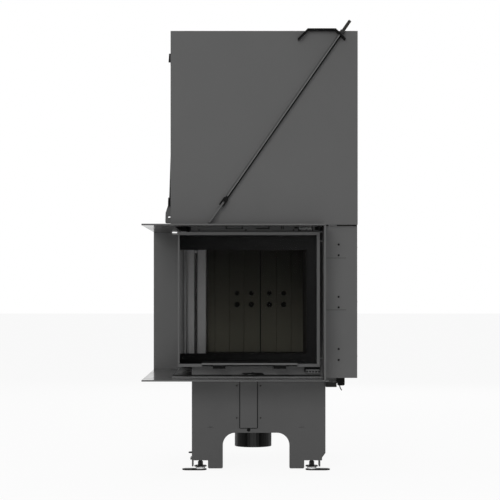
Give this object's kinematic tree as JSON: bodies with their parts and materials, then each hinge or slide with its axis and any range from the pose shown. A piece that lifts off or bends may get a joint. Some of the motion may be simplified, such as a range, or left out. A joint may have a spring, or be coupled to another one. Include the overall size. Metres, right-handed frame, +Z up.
{
  "type": "fireplace insert",
  "caption": "Corner fireplace insert with a lift-up glass door, a deep flat collar, a tall casing braced by tie rods and a legged base with an air inlet below.",
  "frame": {"origin": "centre of the overall footprint, on the floor under the foot pads", "axes": "+X to the right as seen from the front pane, +Y towards the back, +Z up"},
  "size_m": [0.683, 0.764, 1.4424],
  "materials": {
    "paint": "matte dark grey heat-proof paint",
    "base_paint": "matte darker grey heat-proof paint",
    "black_steel": "satin black coated steel",
    "bare_steel": "zinc plated steel, slightly dull",
    "firebox_steel": "matte black heat-proof coating on welded steel",
    "weight_iron": "rough bare cast iron",
    "ceramic": "matte brownish black fireproof ceramic",
    "baffle_board": "pressed mineral board, matte tan",
    "glass": "smoked ceramic glass with a printed black border"
  },
  "bodies": {
    "root": {"air_box": "black_steel", "air_slot_cover": "base_paint", "base_front_panel": "base_paint", "base_left_panel": "base_paint", "base_rear_panel": "base_paint", "base_right_panel": "base_paint", "casing_front_panel": "paint", "casing_left_panel": "paint", "casing_rear_panel": "paint", "casing_right_panel": "paint", "collar_bottom_plate": "paint", "collar_rear_upright": "paint", "collar_right_upright": "paint", "collar_top_plate": "paint", "column_front_cover": "paint", "column_hanger": "black_steel", "column_side_panel": "paint", "corner_pilaster": "base_paint", "door_stop": "black_steel", "firebox_floor": "firebox_steel", "firebox_wall": "firebox_steel", "flue_collar": "firebox_steel", "foot_pad_front_left": "black_steel", "foot_pad_front_right": "black_steel", "foot_pad_rear_left": "black_steel", "foot_pad_rear_right": "black_steel", "front_rod_bracket": "black_steel", "front_tie_rod": "black_steel", "hearth_lining": "ceramic", "lintel_channel": "base_paint", "rear_column_cover": "paint", "rear_door_cable": "bare_steel", "rear_guide_rail": "bare_steel", "rear_lining_left": "ceramic", "rear_lining_right": "ceramic", "rear_weight_cable": "bare_steel", "right_door_cable": "bare_steel", "right_guide_rail": "bare_steel", "right_lining": "ceramic", "right_weight_cable": "bare_steel", "side_rod_bracket": "black_steel", "side_tie_rod": "black_steel", "sill_plate": "base_paint", "smoke_baffle": "baffle_board", "smoke_hood": "firebox_steel"},
    "door": {"door_front_frame": "paint", "door_side_frame": "paint", "front_glass": "glass", "side_glass": "glass", "corner_bead": "paint", "door_handle": "black_steel"},
    "right_weight": {"right_counterweight": "weight_iron"},
    "rear_weight": {"rear_counterweight": "weight_iron"},
    "right_pulley": {"right_pulley": "black_steel"},
    "rear_pulley": {"rear_pulley": "black_steel"},
    "air_lever": {"air_lever": "black_steel"},
    "foot_screw_front_left": {"foot_screw_front_left": "bare_steel"},
    "foot_screw_front_right": {"foot_screw_front_right": "bare_steel"},
    "foot_screw_rear_left": {"foot_screw_rear_left": "bare_steel"},
    "foot_screw_rear_right": {"foot_screw_rear_right": "bare_steel"}
  },
  "joints": [
    {"name": "door_lift", "type": "slide", "parent": "root", "child": "door", "axis": [0, 0, 1], "range_m": [0, 0.425], "deforming": ["right_door_cable", "rear_door_cable"]},
    {"name": "right_weight_drop", "type": "slide", "parent": "root", "child": "right_weight", "axis": [0, 0, -1], "range_m": [0, 0.43], "deforming": ["right_weight_cable"]},
    {"name": "rear_weight_drop", "type": "slide", "parent": "root", "child": "rear_weight", "axis": [0, 0, -1], "range_m": [0, 0.43], "deforming": ["rear_weight_cable"]},
    {"name": "right_pulley_turn", "type": "hinge", "parent": "root", "child": "right_pulley", "pos_m": [0.2698, -0.2523, 1.335], "axis": [0, 1, 0], "range_deg": [0, 730]},
    {"name": "rear_pulley_turn", "type": "hinge", "parent": "root", "child": "rear_pulley", "pos_m": [-0.2118, 0.2988, 1.335], "axis": [-1, 0, 0], "range_deg": [0, 730]},
    {"name": "air_lever_slide", "type": "slide", "parent": "root", "child": "air_lever", "axis": [1, 0, 0], "range_m": [-0.025, 0.025]},
    {"name": "foot_screw_front_left_turn", "type": "hinge", "parent": "root", "child": "foot_screw_front_left", "pos_m": [-0.1621, -0.2026, 0.02], "axis": [0, 0, 1], "continuous": true},
    {"name": "foot_screw_front_right_turn", "type": "hinge", "parent": "root", "child": "foot_screw_front_right", "pos_m": [0.1985, -0.2026, 0.02], "axis": [0, 0, 1], "continuous": true},
    {"name": "foot_screw_rear_left_turn", "type": "hinge", "parent": "root", "child": "foot_screw_rear_left", "pos_m": [-0.1621, 0.3261, 0.02], "axis": [0, 0, 1], "continuous": true},
    {"name": "foot_screw_rear_right_turn", "type": "hinge", "parent": "root", "child": "foot_screw_rear_right", "pos_m": [0.1985, 0.3261, 0.02], "axis": [0, 0, 1], "continuous": true}
  ],
  "couplings": [
    {"joint": "right_weight_drop", "follows": "door_lift", "ratio": 1},
    {"joint": "rear_weight_drop", "follows": "door_lift", "ratio": 1},
    {"joint": "right_pulley_turn", "follows": "door_lift", "rad_per_m": 29.851},
    {"joint": "rear_pulley_turn", "follows": "door_lift", "rad_per_m": 29.851}
  ]
}
